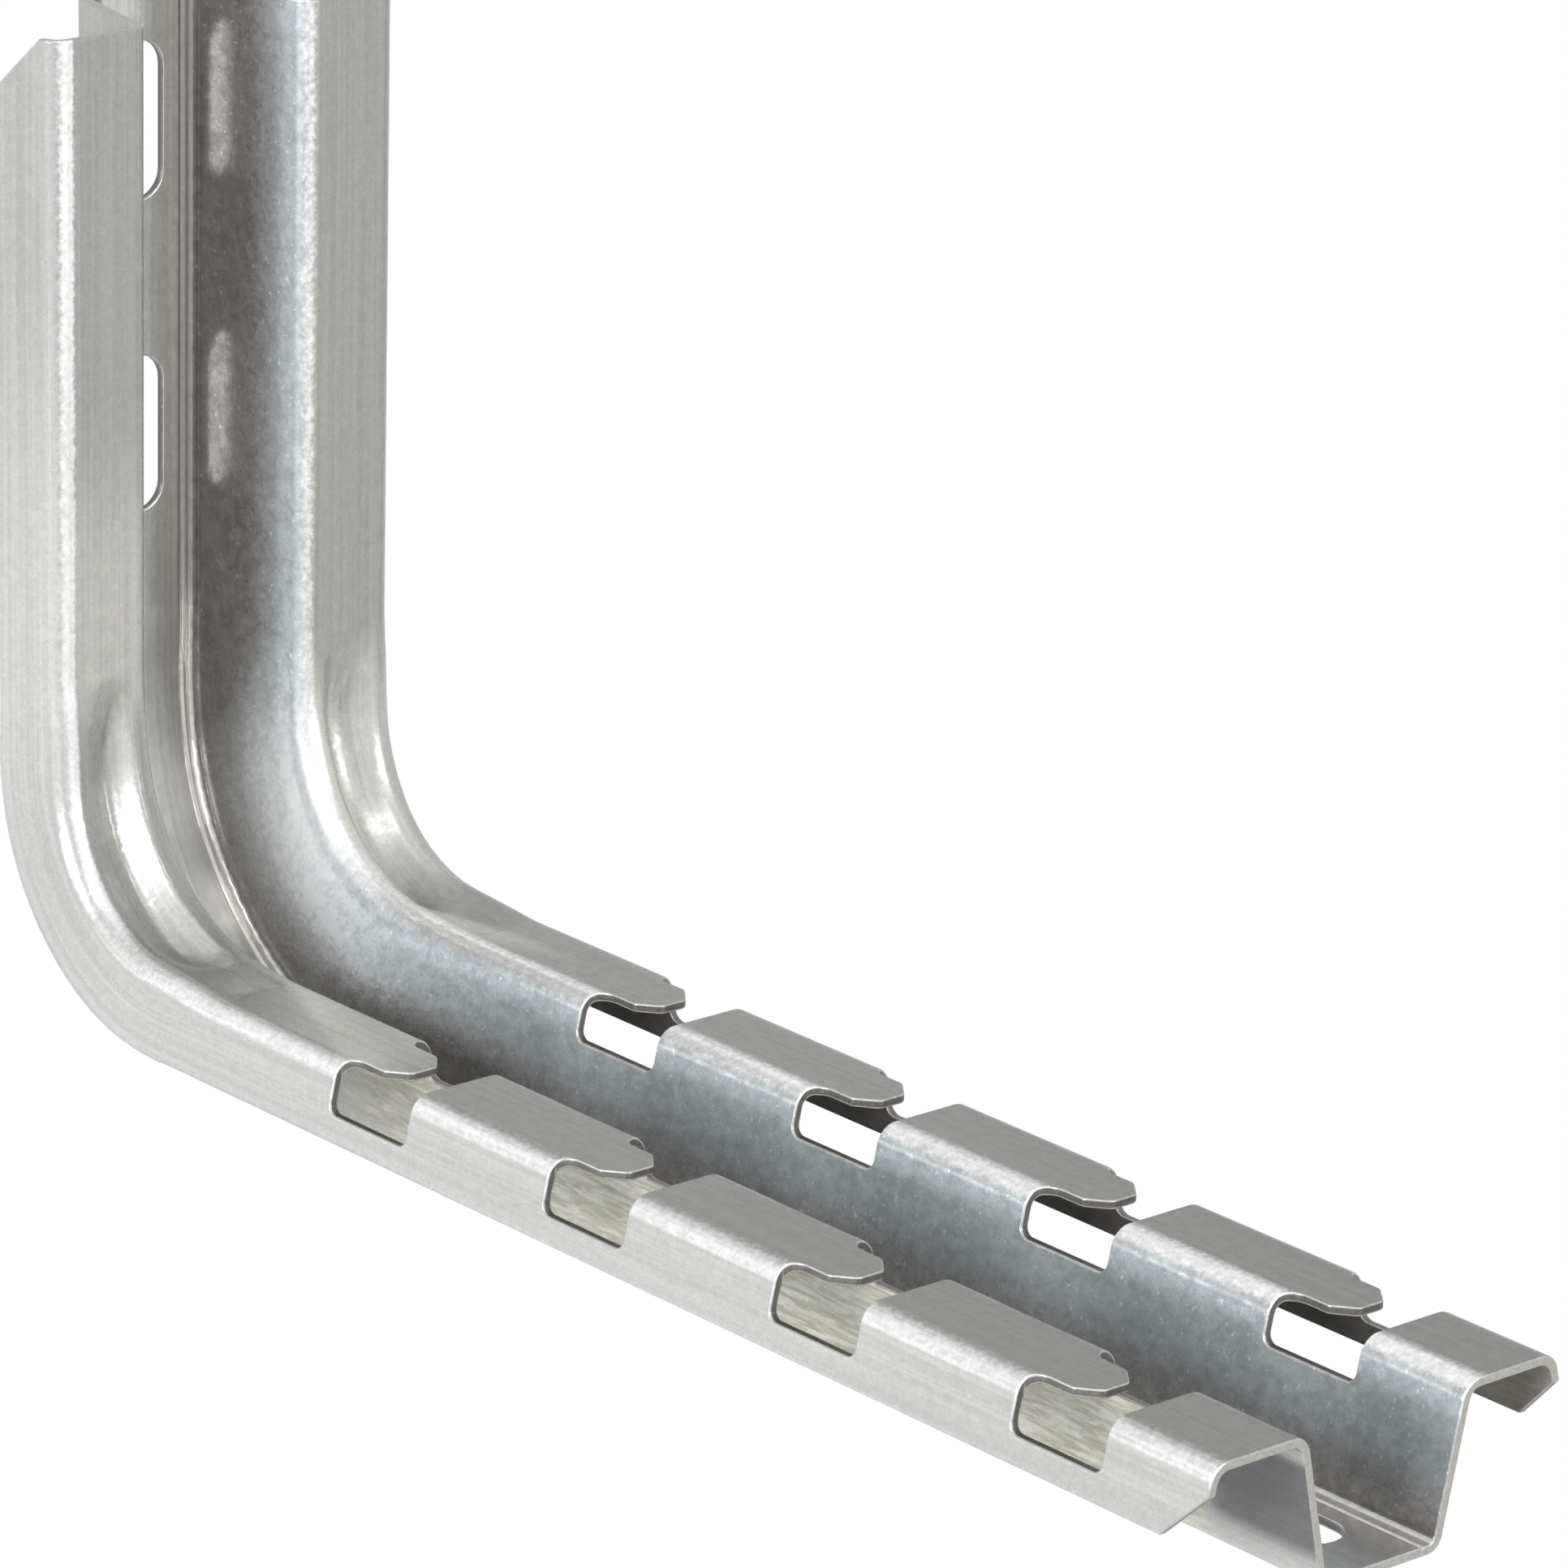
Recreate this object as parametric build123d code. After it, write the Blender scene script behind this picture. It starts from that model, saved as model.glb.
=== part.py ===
from build123d import *
import math
import os

# Cantilever bracket folded from one strip of galvanised sheet. The arm runs out
# along +X from the wall plane x = 0, the leg runs up along +Z, and the strip's
# back (the web) lies on z = 0 under the arm and on x = 0 behind the leg.

# Sheet
sheet = 1.5

# Cross section: web, leaning walls, flanges and lips
section_height = 24.0
wall_foot_half = 9.7
wall_lean = 12.0
flange_edge_half = 32.0
lip_depth = 11.9
lip_lean = 12.0
outer_bend_radius = 3.5
foot_inner_radius = 1.2
crease_width = 0.9
crease_depth = 0.3

# Path of the strip
arm_length = 282.0
leg_height = 164.0
web_bend_radius = 51.0
arm_lip_corner_cut = 7.4
leg_lip_corner_cut = 8.5

# Trough pressed along each flange through the bend, with the metal raised beside it
trough_margin = 3.2
trough_depth = 2.7
valley_towards_wall = 1.4
rim_pull = 0.3
valley_pull = 0.4
press_run_out = 13.0
press_run_up = 14.0
trough_arm_start = 0.5
trough_arm_fade = 9.0
trough_leg_fade = 16.8
wall_ridge_rise = 1.9
wall_ridge_inward = 1.0
wall_ridge_arm_fade = 28.6
wall_ridge_leg_fade = 30.8
edge_ridge_rise = 1.0
edge_ridge_sag = 0.9
bend_steps = 5
run_steps = 2

# Wire notches along the arm
notch_count = 4
notch_pitch = 50.0
first_notch = 94.0
notch_length = 18.0
wall_seat_height = 17.2
lip_seat_height = 16.1
seat_corner_radius = 1.6
tongue_length = 10.5
tongue_width = 10.0
tongue_outward = 0.5
tongue_nose_width = 4.6
tongue_nose_length = 3.4
tongue_root_radius = 2.8
tongue_nose_radius = 1.4

# Slots in the web
slot_length = 25.0
slot_width = 8.6
leg_slot_count = 2
leg_slot_pitch = 50.0
leg_top_to_slot = 21.0
arm_end_to_slot = 21.5

lean = math.tan(math.radians(wall_lean))
lip_slope = math.tan(math.radians(lip_lean))
wall_top_half = wall_foot_half + section_height * lean
flange_middle = (wall_top_half + flange_edge_half) / 2
trough_width = flange_edge_half - wall_top_half - 2 * trough_margin
bend_centre = web_bend_radius
flange_arc = (web_bend_radius - section_height) * math.pi / 2


def side_corners(depth_in, wall_share, edge_share):
    """Corners of the right half of one face of the strip, depth_in below the channel side."""
    wall_top = section_height - depth_in + wall_share * wall_ridge_rise
    edge_top = section_height - depth_in + edge_share * edge_ridge_rise
    wall_shift = depth_in / math.cos(math.radians(wall_lean))
    lip_shift = depth_in / math.cos(math.radians(lip_lean))
    foot = sheet - depth_in
    lip_line = flange_edge_half - lip_shift
    edge = section_height - lip_depth
    return {
        "foot": (wall_foot_half + foot * lean + wall_shift, foot),
        "wall_top": (wall_foot_half + wall_top * lean + wall_shift - wall_share * wall_ridge_inward, wall_top),
        "corner": (lip_line + (section_height - edge_top) * lip_slope, edge_top),
        "edge": (lip_line + lip_depth * lip_slope, edge),
    }


def mirrored(point):
    return (-point[0], point[1])


def trough_half(side, rim, valley):
    """Draws one half of a trough's section, level at both ends, from its rim to its valley."""
    reach = rim[0] - valley[0]
    controls = [rim, (rim[0] - rim_pull * reach, rim[1]), (valley[0] + valley_pull * reach, valley[1]), valley]
    Bezier(*[(side * y, z) for y, z in controls])


def face_line(depth_in, trough_share, wall_share, edge_share):
    """One face of the strip, from lip edge to lip edge, with the trough pressed to the given share."""
    at = side_corners(depth_in, wall_share, edge_share)
    valley = (flange_middle - valley_towards_wall, section_height - depth_in - trough_share * trough_depth)
    outer_radius = outer_bend_radius - depth_in
    foot_radius = foot_inner_radius + depth_in
    wall_rim = (flange_middle - trough_width / 2, at["wall_top"][1])
    edge_rim = (flange_middle + trough_width / 2, at["corner"][1])
    channel = [wall_rim, at["wall_top"], at["foot"]]
    radii = [outer_radius, foot_radius]
    if depth_in == 0:
        crease_at = at["foot"][0] - foot_inner_radius - crease_width
        channel += [(crease_at + crease_width / 2, sheet), (crease_at, sheet - crease_depth)]
        channel += [(crease_at - crease_width / 2, sheet)]
        radii += [0, 0, 0]
    points = channel + [mirrored(point) for point in reversed(channel)]
    FilletPolyline(*points, radius=radii + radii[::-1])
    for side in (1, -1):
        rim = [(side * y, z) for y, z in (at["edge"], at["corner"], edge_rim)]
        FilletPolyline(*rim, radius=outer_radius)
        trough_half(side, edge_rim, valley)
        trough_half(side, wall_rim, valley)
    return at["edge"]


def strip_section(plane, shares=(0, 0, 0)):
    """Section of the strip as a face; the shares say how far the trough and its two ridges have come."""
    with BuildSketch(plane) as section:
        with BuildLine():
            outer = face_line(0, *shares)
            inner = face_line(sheet, *shares)
            for side in (1, -1):
                Line((side * outer[0], outer[1]), (side * inner[0], inner[1]))
        make_face()
    return section.sketch


def arm_plane(x):
    return Plane((x, 0, 0), x_dir=(0, 1, 0), z_dir=(1, 0, 0))


def leg_plane(z):
    return Plane((0, 0, z), x_dir=(0, 1, 0), z_dir=(0, 0, -1))


def bend_plane(angle):
    """Section plane in the bend, turned by angle from the arm's end of it to the leg's."""
    turn = math.radians(angle)
    origin = (bend_centre - web_bend_radius * math.sin(turn), 0, bend_centre - web_bend_radius * math.cos(turn))
    return Plane(origin, x_dir=(0, 1, 0), z_dir=(math.cos(turn), 0, -math.sin(turn)))


def ease(value):
    """Smooth step from 0 to 1."""
    value = min(max(value, 0.0), 1.0)
    return value * value * (3 - 2 * value)


def pressing(place):
    """Shares of the trough, the wall-side ridge and the outer ridge at a place along the flange."""
    into = place + press_run_out
    left = flange_arc + press_run_up - place
    trough = ease((place - trough_arm_start) / trough_arm_fade) * ease(left / trough_leg_fade)
    wall_side = ease(into / wall_ridge_arm_fade) * ease(left / wall_ridge_leg_fade)
    sag = edge_ridge_sag * ease(1 - abs(2 * place / flange_arc - 1))
    edge_side = ease(into / press_run_out) * ease(left / press_run_up) * (1 - sag)
    return trough, wall_side, edge_side


def bend():
    """The curved stretch with its run-ups, lofted so that the troughs rise and fade."""
    sections = []
    for step in range(run_steps):
        away = press_run_out * (1 - step / run_steps)
        sections.append(strip_section(arm_plane(web_bend_radius + away), pressing(-away)))
    for step in range(bend_steps + 1):
        share = step / bend_steps
        sections.append(strip_section(bend_plane(90 * share), pressing(flange_arc * share)))
    for step in range(run_steps):
        away = press_run_up * (step + 1) / run_steps
        sections.append(strip_section(leg_plane(web_bend_radius + away), pressing(flange_arc + away)))
    return loft(sections)


def tongue():
    """Retaining tongue over one notch, in plan, rooted at the notch's start and pointing along +X."""
    half = tongue_width / 2
    nose = tongue_nose_width / 2
    shoulder = tongue_length - tongue_nose_length
    flare = half + 2 * tongue_root_radius
    right = [(0, flare), (0, half), (shoulder, half), (tongue_length, nose)]
    radii = [tongue_root_radius, tongue_nose_radius, tongue_nose_radius]
    points = right + [(x, -y) for x, y in reversed(right)]
    with BuildSketch(Plane.XY.offset(section_height - outer_bend_radius - sheet)) as outline:
        with BuildLine():
            FilletPolyline(*points, radius=radii + radii[::-1])
            Polyline((0, -flare), (-tongue_root_radius, -flare), (-tongue_root_radius, flare), (0, flare))
        make_face()
    return extrude(outline.sketch, amount=2 * outer_bend_radius)


def window(seat, near, far):
    """Side window of one notch, rounded at the seat, cut between two distances from the centre plane."""
    over = section_height + sheet
    corners = [(0, over), (0, seat), (notch_length, seat), (notch_length, over)]
    with BuildSketch(Plane.XZ.offset(-far)) as outline:
        with BuildLine():
            FilletPolyline(*corners, radius=[seat_corner_radius, seat_corner_radius])
            Line(corners[0], corners[-1])
        make_face()
    return extrude(outline.sketch, amount=far - near)


def notch():
    """Material taken out for one wire notch of the right-hand side, starting at x = 0."""
    inside = wall_foot_half - sheet
    outside = 2 * flange_edge_half - wall_foot_half
    cutter = window(wall_seat_height, inside, flange_middle) + window(lip_seat_height, flange_middle, outside)
    return cutter - Pos(0, flange_middle + tongue_outward, 0) * tongue()


def web_slot(plane):
    """Cutter for one slot through the web, long along the plane's x axis."""
    with BuildSketch(plane) as outline:
        SlotOverall(slot_length, slot_width)
    return extrude(outline.sketch, amount=2 * sheet, both=True)


def corner_cut(leg, end):
    """Cutter for the right-hand lip's sloping end corner, drawn in the side view."""
    edge = section_height - lip_depth
    if end == "arm":
        points = [(arm_length - leg, edge), (arm_length, edge + leg), (arm_length, edge - leg)]
        points += [(arm_length - leg, edge - leg)]
    else:
        points = [(edge, leg_height - leg), (edge + leg, leg_height), (edge - leg, leg_height)]
        points += [(edge - leg, leg_height - leg)]
    with BuildSketch(Plane.XZ.offset(-2 * flange_edge_half)) as outline:
        with BuildLine():
            Polyline(*points, close=True)
        make_face()
    return extrude(outline.sketch, amount=2 * flange_edge_half - flange_middle)


if __name__ == "__main__":
    os.makedirs("parts", exist_ok=True)
    arm_start = web_bend_radius + press_run_out
    leg_start = web_bend_radius + press_run_up
    bracket = bend()
    bracket += extrude(strip_section(arm_plane(arm_start)), amount=arm_length - arm_start)
    bracket += extrude(strip_section(leg_plane(leg_height)), amount=leg_height - leg_start)
    for index in range(notch_count):
        cutter = Pos(first_notch + index * notch_pitch, 0, 0) * notch()
        bracket -= cutter
        bracket -= mirror(cutter, about=Plane.XZ)
    for index in range(leg_slot_count):
        slot_height = leg_height - leg_top_to_slot - index * leg_slot_pitch
        bracket -= web_slot(Plane((0, 0, slot_height), x_dir=(0, 0, 1), z_dir=(1, 0, 0)))
    bracket -= web_slot(Plane((arm_length - arm_end_to_slot, 0, 0), x_dir=(1, 0, 0), z_dir=(0, 0, 1)))
    for end, leg in (("arm", arm_lip_corner_cut), ("leg", leg_lip_corner_cut)):
        cutter = corner_cut(leg, end)
        bracket -= cutter
        bracket -= mirror(cutter, about=Plane.XZ)
    bracket.label = "bracket"
    export_step(bracket, "parts/bracket.step")
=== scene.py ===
import math

import bmesh
import bpy
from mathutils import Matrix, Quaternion, Vector
from mathutils.bvhtree import BVHTree


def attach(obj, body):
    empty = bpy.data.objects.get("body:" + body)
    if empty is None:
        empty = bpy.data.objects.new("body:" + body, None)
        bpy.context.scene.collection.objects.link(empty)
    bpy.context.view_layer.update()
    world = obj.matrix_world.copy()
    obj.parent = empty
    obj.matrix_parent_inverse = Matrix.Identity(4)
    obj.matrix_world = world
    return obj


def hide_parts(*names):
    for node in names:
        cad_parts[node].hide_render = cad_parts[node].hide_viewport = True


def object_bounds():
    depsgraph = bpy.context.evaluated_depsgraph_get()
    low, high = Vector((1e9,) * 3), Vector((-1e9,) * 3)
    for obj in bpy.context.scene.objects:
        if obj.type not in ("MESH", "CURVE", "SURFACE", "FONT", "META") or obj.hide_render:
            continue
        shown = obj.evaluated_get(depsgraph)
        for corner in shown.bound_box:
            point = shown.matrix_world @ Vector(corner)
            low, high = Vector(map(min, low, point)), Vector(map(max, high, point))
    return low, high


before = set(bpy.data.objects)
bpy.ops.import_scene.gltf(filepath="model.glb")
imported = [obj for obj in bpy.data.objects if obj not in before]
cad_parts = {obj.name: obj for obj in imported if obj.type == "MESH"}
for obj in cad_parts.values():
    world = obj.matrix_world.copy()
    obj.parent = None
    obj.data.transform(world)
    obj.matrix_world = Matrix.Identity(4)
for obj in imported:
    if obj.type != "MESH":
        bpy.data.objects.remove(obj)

cad_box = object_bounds()

MM = 0.001

# Camera, at the viewing angle of the photograph: places in metres, focal length and sensor in mm
CAMERA_PLACE = Vector((0.98504, -0.72212, 0.44787))
CAMERA_AIM = Vector((0.15588, 0.0, 0.07754))
CAMERA_ROLL = math.radians(1.474)
CAMERA_FOCAL = 187.03
SENSOR = 36.0

# Studio: distances in metres, the floor's grey and the strength of the room's own light
LAMP_DISTANCE = 1.6
FLOOR_HALF = 6.0
FLOOR_GAP = 0.2 * MM
FLOOR_GREY = 0.8
ROOM_LIGHT = 0.05

# Sheet metal
THICKEST_WALL = 2.2 * MM
UNDER_THE_SKIN = 0.02 * MM
SAME_POINT = 0.001 * MM
SLIVER = 0.06 * MM
FLAT_WITHIN = math.radians(0.3)
SHARP_CORNER = math.radians(60)
SMOOTH_BELOW = math.radians(34)
PUNCHED_ROUND = 0.32 * MM
ROUND_SEGMENTS = 3
GRAIN_DEPTH = 0.05 * MM

# The strip's path in mm, as the patterns follow it. Places along it count from the start of the bend
# at the arm: they are positive out along the arm and negative through the bend and up the leg.
BEND_CENTRE = 51.0
BEND_MIDDLE = 39.0
FLANGE_MIDDLE = 23.4
LEG_INTO_BEND = (-74.0, -46.0)
BEND_INTO_ARM = (-35.0, 0.0)
BEND_TO_LEG = (5.0, -40.0)
FIRST_WINDOW = (12.0, 40.0)
LAST_WINDOW = (206.0, 212.0)
ARM_TIP = (206.0, 214.0)
ARM_END_CUT = (230.5, 230.9)
LEG_END_CUT = (-173.8, -174.1)

# Height of the painted grey-brown shade at the foot inside the channel, in mm
LEG_FOOT = 13.1
BEND_END_FOOT = 8.0
BEND_FOOT = 3.0
ARM_FOOT = 4.2

# Zinc tones. The flanges' tone is the lips' zinc darkened as painted shade on the upward faces; the foot,
# hem and arm-end tones are painted shade, and the fold tone is a painted highlight
LIP_ZINC = (0.60, 0.597, 0.585)
SHADED_FLANGE_ZINC = (0.41, 0.405, 0.382)
WALL_ZINC = (0.46, 0.50, 0.52)
BEND_ZINC = (0.485, 0.497, 0.505)
FOOT_SHADE_ZINC = (0.44, 0.425, 0.415)
WEB_ZINC = (0.62, 0.604, 0.572)
OUTER_ZINC = (0.45, 0.445, 0.43)
WINDOW_ZINC = (0.80, 0.80, 0.70)
WINDOW_STAIN = (0.50, 0.50, 0.395)
END_WALL_SHADE = (0.19, 0.185, 0.19)
HEM_SHADE = (0.09, 0.083, 0.076)
FOLD_HIGHLIGHT = (0.90, 0.90, 0.90)
SHADED_SHEARED_STEEL = (0.20, 0.19, 0.175)
END_STEEL = (0.52, 0.51, 0.46)

# Shares of bare metal: in the coat, added where it is smooth, and on the cut edges
COAT_METAL = 0.35
SMOOTH_METAL = 0.5
CUT_METAL = 0.5

# Places of the mix node's colour sockets, whose names its other sockets have too
MIX_FIRST = 6
MIX_SECOND = 7
MIX_RESULT = 2


# Node helpers

def new_material(name):
    material = bpy.data.materials.new(name)
    material.use_nodes = True
    material.node_tree.nodes.clear()
    return material, material.node_tree


def add(tree, kind, **settings):
    node = tree.nodes.new(kind)
    for key, value in settings.items():
        setattr(node, key, value)
    return node


def feed(tree, socket, value):
    """Sets a socket to a number, a vector or a colour, or links it to an output."""
    if isinstance(value, bpy.types.NodeSocket):
        tree.links.new(value, socket)
    elif socket.type == "RGBA":
        socket.default_value = (*value, 1.0)
    else:
        socket.default_value = value


def calc(tree, operation, first, second=0.0):
    node = add(tree, "ShaderNodeMath", operation=operation)
    feed(tree, node.inputs[0], first)
    feed(tree, node.inputs[1], second)
    return node.outputs["Value"]


def greater(tree, first, second):
    return calc(tree, "MAXIMUM", first, second)


def times(tree, *factors):
    """Product of all the factors; of shares, it is high only where each of them is."""
    product = factors[0]
    for factor in factors[1:]:
        product = calc(tree, "MULTIPLY", product, factor)
    return product


def total(tree, *parts):
    result = parts[0]
    for part in parts[1:]:
        result = calc(tree, "ADD", result, part)
    return result


def less(tree, first, second):
    return calc(tree, "SUBTRACT", first, second)


def vector_calc(tree, operation, first, second=None, output="Vector"):
    node = add(tree, "ShaderNodeVectorMath", operation=operation)
    feed(tree, node.inputs[0], first)
    if second is not None:
        feed(tree, node.inputs[1], second)
    return node.outputs[output]


def split(tree, vector):
    node = add(tree, "ShaderNodeSeparateXYZ")
    feed(tree, node.inputs["Vector"], vector)
    return node.outputs["X"], node.outputs["Y"], node.outputs["Z"]


def joined(tree, x, y, z):
    node = add(tree, "ShaderNodeCombineXYZ")
    for socket, value in zip(node.inputs, (x, y, z)):
        feed(tree, socket, value)
    return node.outputs["Vector"]


def rise(tree, value, low, high, out_low=0.0, out_high=1.0):
    """Smooth change from one output to another while the value goes from low to high."""
    node = add(tree, "ShaderNodeMapRange", interpolation_type="SMOOTHSTEP")
    limits = {"Value": value, "From Min": low, "From Max": high, "To Min": out_low, "To Max": out_high}
    for name, limit in limits.items():
        feed(tree, node.inputs[name], limit)
    return node.outputs["Result"]


def between(tree, value, start, full, fading, gone):
    """One while the value is from full to fading, nought before the start and past gone."""
    return times(tree, rise(tree, value, start, full), rise(tree, value, gone, fading))


def swing(tree, pattern, low, high):
    """Turns a noise, whose values lie mostly from 0.3 to 0.7, into a number from low to high."""
    return rise(tree, pattern, 0.3, 0.7, low, high)


def lift(tree, share, low, high):
    """The number low where the share is nought, and high where it is one."""
    return rise(tree, share, 0.0, 1.0, low, high)


def blend(tree, share, first, second):
    """Goes from the first colour to the second as the share goes from nought to one."""
    node = add(tree, "ShaderNodeMix", data_type="RGBA")
    feed(tree, node.inputs["Factor"], share)
    feed(tree, node.inputs[MIX_FIRST], first)
    feed(tree, node.inputs[MIX_SECOND], second)
    return node.outputs[MIX_RESULT]


def toned(tree, colour, tone):
    """The colour made lighter or darker by a number near one."""
    return vector_calc(tree, "MULTIPLY", colour, joined(tree, tone, tone, tone))


def noise(tree, place, scale, detail=2.0, roughness=0.5, distortion=0.0):
    """Noise with the given number of features per mm in each direction."""
    node = add(tree, "ShaderNodeTexNoise")
    settings = {"Scale": 1.0, "Detail": detail, "Roughness": roughness, "Distortion": distortion}
    for name, number in settings.items():
        node.inputs[name].default_value = number
    feed(tree, node.inputs["Vector"], vector_calc(tree, "MULTIPLY", place, scale))
    return node.outputs["Fac"]


def bump(tree, height, strength):
    node = add(tree, "ShaderNodeBump")
    node.inputs["Strength"].default_value = strength
    node.inputs["Distance"].default_value = GRAIN_DEPTH
    feed(tree, node.inputs["Height"], height)
    return node.outputs["Normal"]


def shaded(tree, colour, metallic, roughness, normal):
    shader = add(tree, "ShaderNodeBsdfPrincipled")
    looks = {"Base Color": colour, "Metallic": metallic, "Roughness": roughness, "Normal": normal}
    for name, value in looks.items():
        feed(tree, shader.inputs[name], value)
    output = add(tree, "ShaderNodeOutputMaterial")
    tree.links.new(shader.outputs["BSDF"], output.inputs["Surface"])


class Strip:
    """Places on the strip in mm and the way its faces are turned, for the patterns to follow."""

    def __init__(self, tree):
        source = add(tree, "ShaderNodeTexCoord").outputs["Object"]
        x, y, z = split(tree, vector_calc(tree, "MULTIPLY", source, (1 / MM, 1 / MM, 1 / MM)))
        facing = add(tree, "ShaderNodeAttribute", attribute_name="facing")
        normal = vector_calc(tree, "NORMALIZE", facing.outputs["Vector"])
        back = greater(tree, less(tree, BEND_CENTRE, x), 0.0)
        down = greater(tree, less(tree, BEND_CENTRE, z), 0.0)
        ahead = greater(tree, less(tree, x, BEND_CENTRE), 0.0)
        above = greater(tree, less(tree, z, BEND_CENTRE), 0.0)
        turned = times(tree, calc(tree, "ARCTAN2", back, down), BEND_MIDDLE)
        inward = joined(tree, back, 0.0, down)
        radius = vector_calc(tree, "LENGTH", inward, output="Value")
        self.along = less(tree, less(tree, ahead, above), turned)
        self.side = calc(tree, "SIGN", y)
        self.depth = less(tree, BEND_CENTRE, radius)
        self.place = joined(tree, self.along, y, self.depth)
        self.across = times(tree, y, self.side)
        self.up = vector_calc(tree, "DOT_PRODUCT", normal, vector_calc(tree, "NORMALIZE", inward), "Value")
        self.outward = times(tree, split(tree, normal)[1], self.side)
        self.steep = calc(tree, "ABSOLUTE", self.outward)


# Materials

def inner_zinc(tree, strip, mottle):
    """Inside of the channel: its colour, its share of bare metal and how strong its spangle is.

    It is grey-brown at the foot, which is painted shade, and blue-grey above it, lighter towards the top
    as painted light.
    In the bend the foot is low, and the metal above it is calmer, with a painted glow and a painted
    highlight spot.
    """
    curved = between(tree, strip.along, *LEG_INTO_BEND, *BEND_INTO_ARM)
    # Painted shade: the foot of the channel is a darker grey-brown up to this height
    foot = rise(tree, strip.along, *LEG_INTO_BEND, LEG_FOOT, BEND_END_FOOT)
    foot = less(tree, foot, times(tree, curved, BEND_END_FOOT - BEND_FOOT))
    foot = less(tree, foot, rise(tree, strip.along, 5.0, 60.0, 0.0, BEND_END_FOOT - ARM_FOOT))
    height = less(tree, total(tree, strip.depth, swing(tree, mottle, -0.5, 0.5)), foot)
    bare = rise(tree, height, 4.0, -3.0)
    bare = less(tree, bare, times(tree, curved, rise(tree, height, 3.0, 12.0), 0.5))
    # Painted light on the wall inside: a painted glow in the bend, a painted highlight spot, lighter
    # towards the top and a little darker at the very top edge
    lit = between(tree, strip.along, -80.0, -35.0, -15.0, 40.0)
    painted_highlight_spot = between(tree, strip.along, -42.0, -20.0, -10.0, 12.0)
    painted_highlight_spot = times(tree, painted_highlight_spot, between(tree, strip.depth, 8.0, 13.0, 15.0, 20.0), 0.3)
    glow = total(tree, times(tree, lit, 0.64), rise(tree, strip.along, 90.0, -60.0, 1.0, 1.18), painted_highlight_spot)
    painted_top_light = rise(tree, strip.depth, 17.5, 20.5, 1.0, less(tree, 1.38, times(tree, lit, 0.3)))
    edge = rise(tree, strip.depth, 21.0, 22.2, 1.0, 0.8)
    upper = toned(tree, blend(tree, curved, WALL_ZINC, BEND_ZINC), times(tree, glow, painted_top_light, edge))
    colour = blend(tree, rise(tree, height, 0.0, lift(tree, curved, 7.0, 12.5)), FOOT_SHADE_ZINC, upper)
    return colour, bare, lift(tree, curved, 1.0, 0.35)


def outer_zinc(tree, strip):
    """Outer side of the walls: stained where the lip windows show it, with painted shade near the arm's
    end.
    """
    stains = noise(tree, strip.place, (0.13, 0.9, 0.9), detail=4.0, roughness=0.7, distortion=0.6)
    window = blend(tree, rise(tree, stains, 0.38, 0.62), WINDOW_ZINC, WINDOW_STAIN)
    window = blend(tree, rise(tree, strip.along, *FIRST_WINDOW), OUTER_ZINC, window)
    window = blend(tree, rise(tree, strip.along, *LAST_WINDOW), window, LIP_ZINC)
    # Painted shade on the outer wall near the arm's end, under the lip and flange
    end_shade = times(tree, rise(tree, strip.along, *ARM_TIP), rise(tree, strip.depth, 3.0, 7.0))
    return blend(tree, end_shade, window, END_WALL_SHADE)


def flange_zinc(tree, strip, leg_side, near):
    """Flanges: darker towards the arm's end, with painted light: a painted sheen where each trough runs
    out, lighter patches near the troughs and in the bend, and lighter on the leg.
    """
    far = less(tree, 1.0, near)
    slanted = less(tree, strip.along, times(tree, strip.across, 2.3))
    slanted = total(tree, slanted, lift(tree, near, 39.0, 23.0))
    beside_trough = greater(tree, near, rise(tree, strip.across, 25.5, 21.5))
    # Painted sheen where each trough runs out, and painted light in lighter patches and on the leg's
    # flanges
    painted_sheen = times(tree, between(tree, slanted, -9.0, -2.0, 2.0, 20.0), beside_trough, 0.6)
    above_trough = times(tree, between(tree, strip.along, -120.0, -85.0, -75.0, -60.0), near, 0.45)
    past_trough = times(tree, between(tree, strip.along, -12.0, 8.0, 40.0, 58.0), near, 0.5)
    in_bend = times(tree, between(tree, strip.along, -75.0, -55.0, -20.0, 0.0), far, 0.55)
    straight = rise(tree, strip.along, 0.0, 230.0, 0.88, 0.68)
    painted_leg_light = times(tree, leg_side, 0.28)
    painted_patches = total(tree, painted_sheen, above_trough, total(tree, past_trough, in_bend))
    return toned(tree, SHADED_FLANGE_ZINC, total(tree, painted_patches, painted_leg_light, straight))


def lip_zinc(tree, strip):
    """Lips: a little darker at the leg's top and lighter just above the bend."""
    tone = rise(tree, strip.along, -150.0, -80.0, 0.86, 1.14)
    return toned(tree, LIP_ZINC, less(tree, tone, rise(tree, strip.along, -70.0, -30.0, 0.0, 0.14)))


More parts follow.
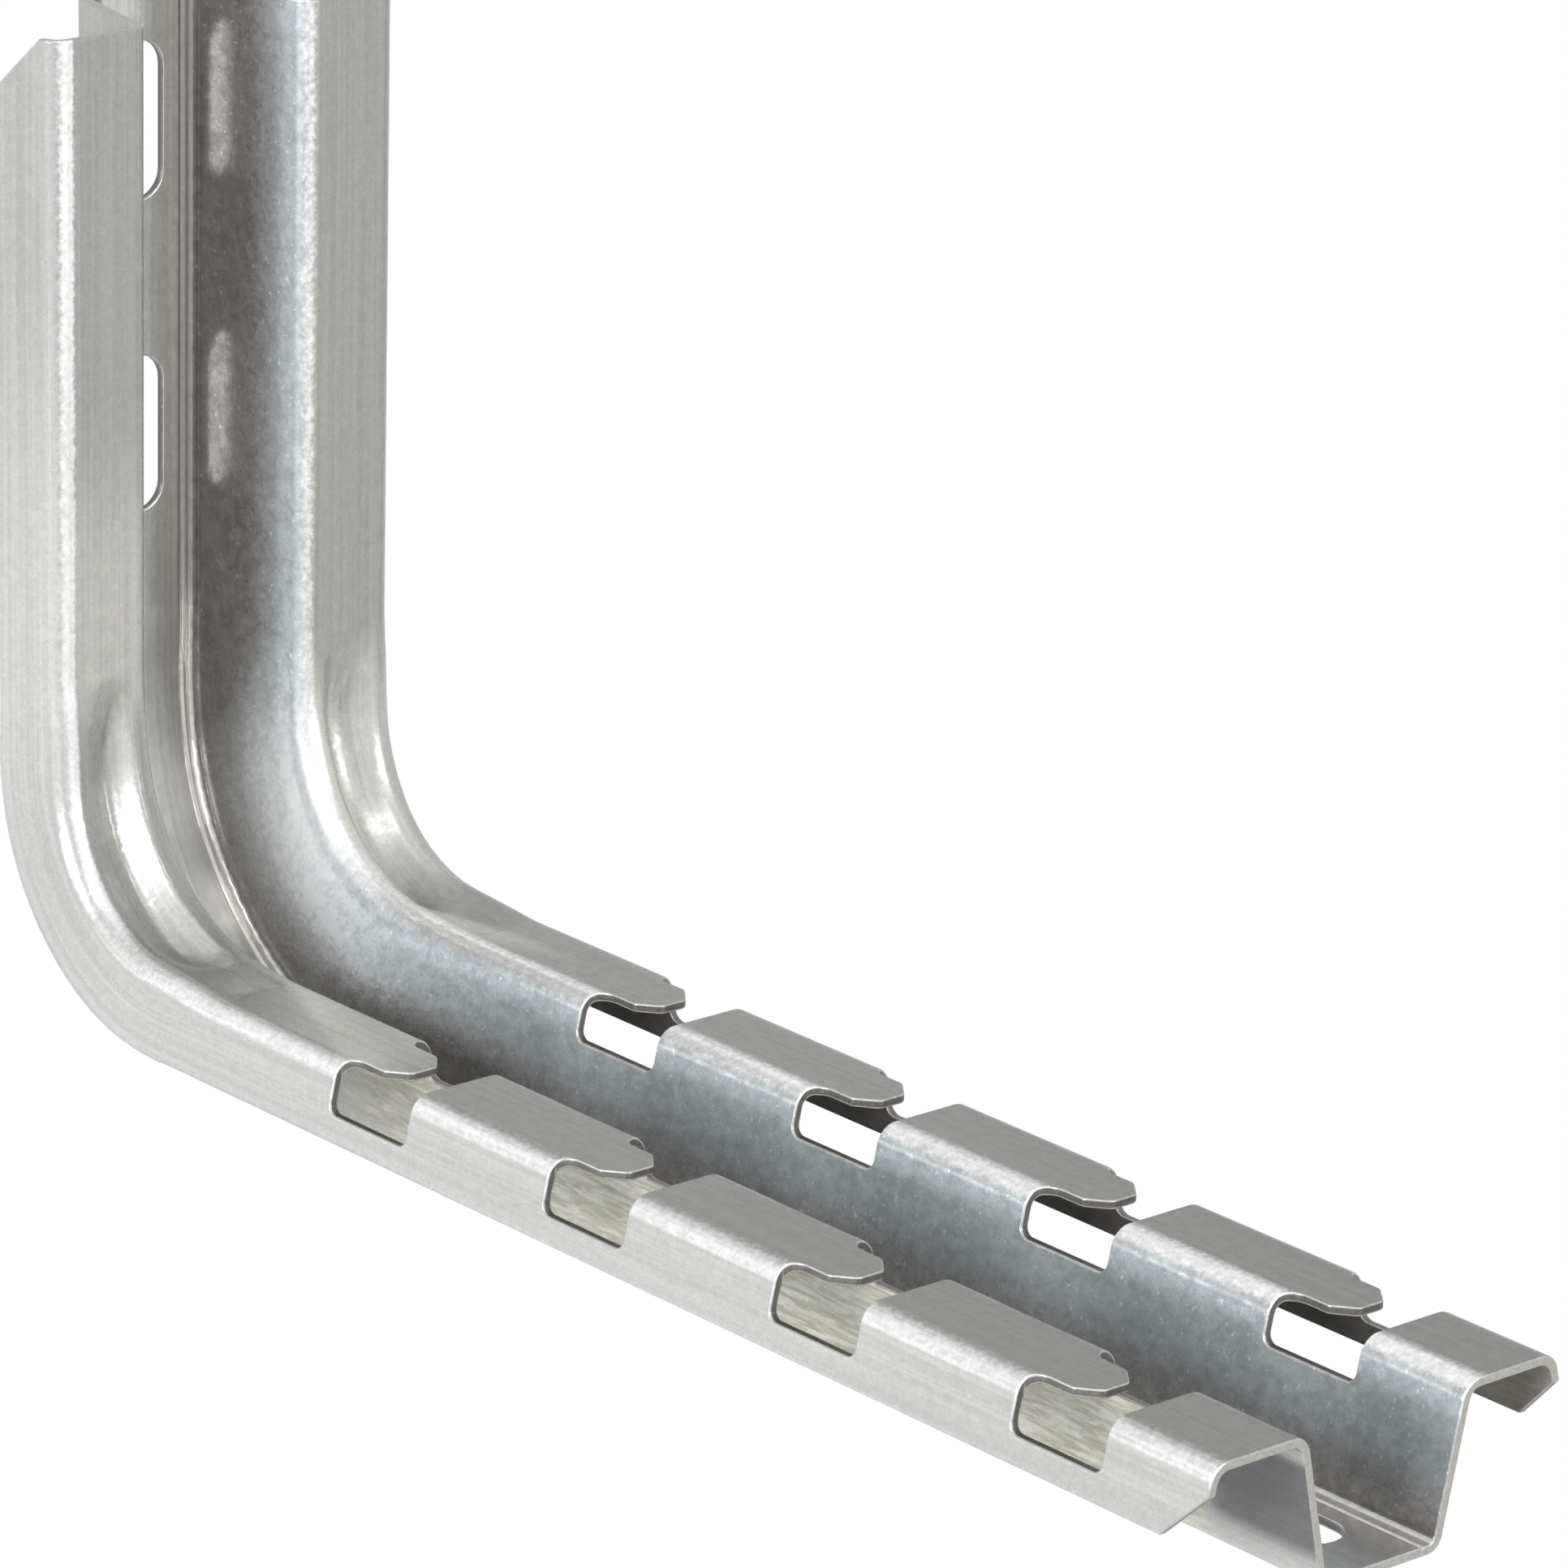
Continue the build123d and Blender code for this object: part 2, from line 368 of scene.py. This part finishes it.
def painted_fold_highlights(tree, strip, mottle, leg_side, near):
    """Painted highlights along the folds: the left lip's and the right wall's, ragged along the straight
    of the leg.
    """
    far = less(tree, 1.0, near)
    leg_lip = times(tree, rise(tree, strip.across, 28.2, 29.4), rise(tree, strip.steep, 0.78, 0.25))
    arm_lip = times(tree, rise(tree, strip.across, 28.0, 32.6), rise(tree, strip.steep, 0.99, 0.8), 0.8)
    leg_wall = times(tree, rise(tree, strip.across, 17.6, 15.4), rise(tree, strip.steep, 0.87, 0.45), 0.9)
    arm_wall = times(tree, rise(tree, strip.across, 20.0, 16.0), rise(tree, strip.steep, 0.97, 0.6), 0.85)
    leg = total(tree, times(tree, leg_lip, near), times(tree, leg_wall, far))
    arm = total(tree, times(tree, arm_lip, near), times(tree, arm_wall, far))
    fold_highlight = total(tree, times(tree, leg, leg_side), times(tree, arm, less(tree, 1.0, leg_side)))
    ragged = times(tree, swing(tree, mottle, -0.24, 0.24), rise(tree, strip.along, -60.0, -95.0, 0.4, 1.0))
    fold_highlight = total(tree, fold_highlight, times(tree, ragged, rise(tree, fold_highlight, 0.0, 0.3)))
    return times(tree, rise(tree, fold_highlight, 0.0, 1.0), rise(tree, strip.up, 0.0, 0.15))


class Coat:
    """Zinc coat by region, as sockets: its colour and bare metal, and where it is smooth or dull."""

    def __init__(self, tree, strip, mottle):
        at_top = rise(tree, strip.depth, 17.0, 21.0)
        below_top = rise(tree, strip.depth, 20.5, 18.5)
        at_walls = rise(tree, strip.across, 20.0, 17.0)
        at_lips = rise(tree, strip.across, 27.5, 29.5)
        looks_out = rise(tree, strip.outward, 0.3, 0.9)
        looks_in = rise(tree, strip.outward, -0.3, -0.9)
        looks_up = rise(tree, strip.up, 0.72, 0.99)
        looks_down = rise(tree, strip.up, -0.3, -0.9)
        leg_side = rise(tree, strip.along, *BEND_TO_LEG)
        near = rise(tree, strip.side, 1.0, -1.0)

        self.wall = times(tree, looks_in, at_walls)
        web = times(tree, rise(tree, strip.up, 0.3, 0.9), rise(tree, strip.depth, 7.0, 3.0))
        inner, bare, spangle = inner_zinc(tree, strip, mottle)
        self.spangle = times(tree, self.wall, spangle)
        self.smooth = times(tree, greater(tree, self.wall, web), bare)
        # Painted shade on the inner faces of the lips and under the flanges, lighter at the arm's tip;
        # there it is also rougher
        shaded_hem = greater(tree, times(tree, looks_in, at_lips), times(tree, looks_down, at_top))
        self.shaded_hem = times(tree, shaded_hem, rise(tree, strip.along, -10.0, 30.0))
        off_trough = calc(tree, "ABSOLUTE", less(tree, strip.across, FLANGE_MIDDLE))
        fold_highlight = painted_fold_highlights(tree, strip, mottle, leg_side, near)
        fold_highlight = times(tree, fold_highlight, at_top, rise(tree, off_trough, 2.8, 5.2))

        flange = flange_zinc(tree, strip, leg_side, near)
        # Upward faces take the darker flange tone, painted shade on the same zinc as the lips
        colour = blend(tree, times(tree, looks_up, at_top), lip_zinc(tree, strip), flange)
        colour = blend(tree, self.wall, colour, inner)
        # Painted shade on the web beside the walls, up the leg
        crease_shade = times(tree, rise(tree, strip.across, 6.9, 7.6), rise(tree, strip.along, -60.0, -85.0))
        colour = blend(tree, web, colour, toned(tree, WEB_ZINC, lift(tree, crease_shade, 1.0, 0.5)))
        outer_wall = times(tree, looks_out, at_walls, below_top)
        colour = blend(tree, outer_wall, colour, outer_zinc(tree, strip))
        hem_shade_at_tip = rise(tree, strip.along, *ARM_TIP, 1.0, 4.6)
        colour = blend(tree, self.shaded_hem, colour, toned(tree, HEM_SHADE, hem_shade_at_tip))
        # Painted highlight along the folds, which also get a larger share of bare metal
        self.colour = blend(tree, fold_highlight, colour, FOLD_HIGHLIGHT)
        self.metal = total(tree, times(tree, total(tree, self.smooth, fold_highlight), SMOOTH_METAL), COAT_METAL)


def galvanised_sheet():
    """Zinc-coated sheet: cloudy spangle, fine mottle, drawing streaks and small bright flecks of the
    spangle, painted as glints.
    """
    material, tree = new_material("galvanised_sheet")
    strip = Strip(tree)
    cloud = noise(tree, strip.place, (0.42, 0.5, 0.5), detail=3.0, roughness=0.6)
    mottle = noise(tree, strip.place, (1.1, 1.2, 1.2), detail=3.0, roughness=0.65)
    streak = noise(tree, strip.place, (0.012, 1.3, 1.3), detail=3.0, roughness=0.6)
    grain = noise(tree, strip.place, (4.0, 4.0, 4.0))
    speck = noise(tree, strip.place, (1.3, 1.3, 1.3), detail=1.0)
    coat = Coat(tree, strip, mottle)

    clouds = times(tree, swing(tree, cloud, -0.5, 0.5), lift(tree, coat.spangle, 0.08, 0.32))
    mottles = times(tree, swing(tree, mottle, -0.06, 0.06), lift(tree, coat.spangle, 1.0, 1.7))
    streaks = times(tree, swing(tree, streak, -0.10, 0.08), lift(tree, coat.wall, 1.0, 0.2))
    # Small bright flecks of the spangle on the walls, painted glints
    painted_glints = times(tree, rise(tree, speck, 0.68, 0.75, 0.0, 0.6), coat.spangle)
    tone = total(tree, clouds, 1.0, mottles, streaks, painted_glints)

    rough = total(tree, swing(tree, cloud, 0.33, 0.26), swing(tree, grain, -0.03, 0.05))
    rough = less(tree, rough, times(tree, coat.smooth, 0.14))
    rough = total(tree, rough, times(tree, coat.shaded_hem, 0.5))
    height = total(tree, mottle, times(tree, grain, 0.35))
    shaded(tree, toned(tree, coat.colour, tone), coat.metal, rough, bump(tree, height, strength=0.2))
    return material


def blanked_edge():
    """Bare steel where the sheet was sheared and punched, darkened there as painted shade, lighter on the
    two sawn ends.
    """
    material, tree = new_material("blanked_edge")
    strip = Strip(tree)
    grain = noise(tree, strip.place, (2.5, 2.5, 2.5), roughness=0.6)
    arm_end = rise(tree, strip.along, *ARM_END_CUT)
    leg_end = rise(tree, strip.along, *LEG_END_CUT)
    # The sheared faces are bare steel darkened as painted shade
    colour = blend(tree, greater(tree, arm_end, leg_end), SHADED_SHEARED_STEEL, END_STEEL)
    colour = toned(tree, colour, swing(tree, grain, 0.85, 1.15))
    shaded(tree, colour, CUT_METAL, swing(tree, grain, 0.38, 0.5), bump(tree, grain, strength=0.3))
    return material


# The bracket

def placed(name, mesh):
    """Makes an object of the finished mesh and puts it in the scene."""
    data = bpy.data.meshes.new(name)
    mesh.to_mesh(data)
    mesh.free()
    piece = bpy.data.objects.new(name, data)
    bpy.context.scene.collection.objects.link(piece)
    return piece


def mark_cut_faces(mesh):
    """Gives the sheared faces the second material: behind them the metal is thicker than the sheet."""
    tree = BVHTree.FromBMesh(mesh)
    for face in mesh.faces:
        start = face.calc_center_median() - face.normal * UNDER_THE_SKIN
        reach = tree.ray_cast(start, -face.normal, THICKEST_WALL)[3]
        face.material_index = 1 if reach is None else 0


def round_punched_edges(mesh):
    """Rounds the sheared edges, where a coated face meets a cut one; the rounding is coated too."""
    edges = []
    for edge in mesh.edges:
        kinds = {face.material_index for face in edge.link_faces}
        if len(kinds) == 2 and edge.calc_face_angle(0.0) > SHARP_CORNER:
            edges.append(edge)
    rounded = bmesh.ops.bevel(
        mesh, geom=edges, offset=PUNCHED_ROUND, offset_type="OFFSET", segments=ROUND_SEGMENTS,
        profile=0.5, affect="EDGES", clamp_overlap=False, material=-1,
    )
    for face in rounded["faces"]:
        face.material_index = 0


def note_facing(piece):
    """Keeps the way each corner of each face is turned, for the patterns to read."""
    shaped = piece.evaluated_get(bpy.context.evaluated_depsgraph_get()).data
    facing = piece.data.attributes.new("facing", "FLOAT_VECTOR", "CORNER")
    facing.data.foreach_set("vector", [part for corner in shaped.corner_normals for part in corner.vector])


def dressed_bracket(node):
    mesh = bmesh.new()
    mesh.from_mesh(node.data)
    bmesh.ops.remove_doubles(mesh, verts=mesh.verts, dist=SAME_POINT)
    mark_cut_faces(mesh)
    bmesh.ops.dissolve_limit(
        mesh, angle_limit=FLAT_WITHIN, verts=mesh.verts, edges=mesh.edges, delimit={"MATERIAL"},
    )
    bmesh.ops.dissolve_degenerate(mesh, edges=mesh.edges, dist=SLIVER)
    round_punched_edges(mesh)
    for face in mesh.faces:
        face.smooth = True
    for edge in mesh.edges:
        edge.smooth = edge.calc_face_angle(math.pi) < SMOOTH_BELOW
    piece = placed("folded_bracket", mesh)
    piece.data.materials.append(galvanised_sheet())
    piece.data.materials.append(blanked_edge())
    weighted = piece.modifiers.new("weighted_normals", "WEIGHTED_NORMAL")
    weighted.keep_sharp = True
    weighted.weight = 50
    note_facing(piece)
    return piece


# Studio

def shown_white(tree):
    """One for the camera and for reflections, nought for the light on everything else."""
    path = add(tree, "ShaderNodeLightPath")
    seen = greater(tree, path.outputs["Is Camera Ray"], path.outputs["Is Glossy Ray"])
    return greater(tree, seen, path.outputs["Is Transmission Ray"])


def studio_world():
    world = bpy.data.worlds.new("studio")
    bpy.context.scene.world = world
    world.use_nodes = True
    tree = world.node_tree
    tree.nodes.clear()
    background = add(tree, "ShaderNodeBackground")
    background.inputs["Color"].default_value = (1.0, 1.0, 1.0, 1.0)
    feed(tree, background.inputs["Strength"], lift(tree, shown_white(tree), ROOM_LIGHT, 1.0))
    output = add(tree, "ShaderNodeOutputWorld")
    tree.links.new(background.outputs["Background"], output.inputs["Surface"])


def studio_floor():
    """Floor that looks pure white, but gives light back like grey paint with a shadow on it."""
    mesh = bmesh.new()
    bmesh.ops.create_grid(mesh, x_segments=1, y_segments=1, size=FLOOR_HALF)
    bmesh.ops.translate(mesh, verts=mesh.verts, vec=(0.0, 0.0, cad_box[0][2] - FLOOR_GAP))
    floor = placed("studio_floor", mesh)
    material, tree = new_material("studio_floor")
    paint = add(tree, "ShaderNodeBsdfDiffuse")
    feed(tree, paint.inputs["Color"], (FLOOR_GREY, FLOOR_GREY, FLOOR_GREY))
    white = add(tree, "ShaderNodeEmission")
    feed(tree, white.inputs["Color"], (1.0, 1.0, 1.0))
    mix = add(tree, "ShaderNodeMixShader")
    tree.links.new(shown_white(tree), mix.inputs["Fac"])
    tree.links.new(paint.outputs["BSDF"], mix.inputs[1])
    tree.links.new(white.outputs["Emission"], mix.inputs[2])
    output = add(tree, "ShaderNodeOutputMaterial")
    tree.links.new(mix.outputs["Shader"], output.inputs["Surface"])
    floor.data.materials.append(material)


def lamp(name, direction, size, power):
    """Soft square lamp in the given direction from the middle of the bracket, which it faces."""
    data = bpy.data.lights.new(name, "AREA")
    data.size = size
    data.energy = power
    place = Vector(direction).normalized() * LAMP_DISTANCE
    light = bpy.data.objects.new(name, data)
    light.location = CAMERA_AIM + place
    light.rotation_euler = (-place).to_track_quat("-Z", "Y").to_euler()
    bpy.context.scene.collection.objects.link(light)


def studio_lamps():
    lamp("side_softbox", direction=(0.15, -0.95, 0.25), size=0.8, power=17.5)
    lamp("front_softbox", direction=(0.95, 0.1, 0.3), size=0.9, power=8.0)
    lamp("low_softbox", direction=(-0.715, -0.70, -0.04), size=0.8, power=3.4)
    lamp("high_softbox", direction=(0.43, -0.32, 0.83), size=0.5, power=3.2)


def camera():
    data = bpy.data.cameras.new("camera")
    data.lens = CAMERA_FOCAL
    data.sensor_width = SENSOR
    data.clip_start = 0.01
    data.clip_end = 50.0
    eye = bpy.data.objects.new("camera", data)
    turn = (CAMERA_AIM - CAMERA_PLACE).to_track_quat("-Z", "Y")
    eye.rotation_mode = "QUATERNION"
    eye.rotation_quaternion = turn @ Quaternion((0.0, 0.0, 1.0), CAMERA_ROLL)
    eye.location = CAMERA_PLACE
    bpy.context.scene.collection.objects.link(eye)
    bpy.context.scene.camera = eye


bracket = dressed_bracket(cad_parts["bracket"])
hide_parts("bracket")
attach(bracket, "root")
studio_world()
studio_floor()
studio_lamps()
camera()
bpy.context.scene.view_settings.view_transform = "Standard"
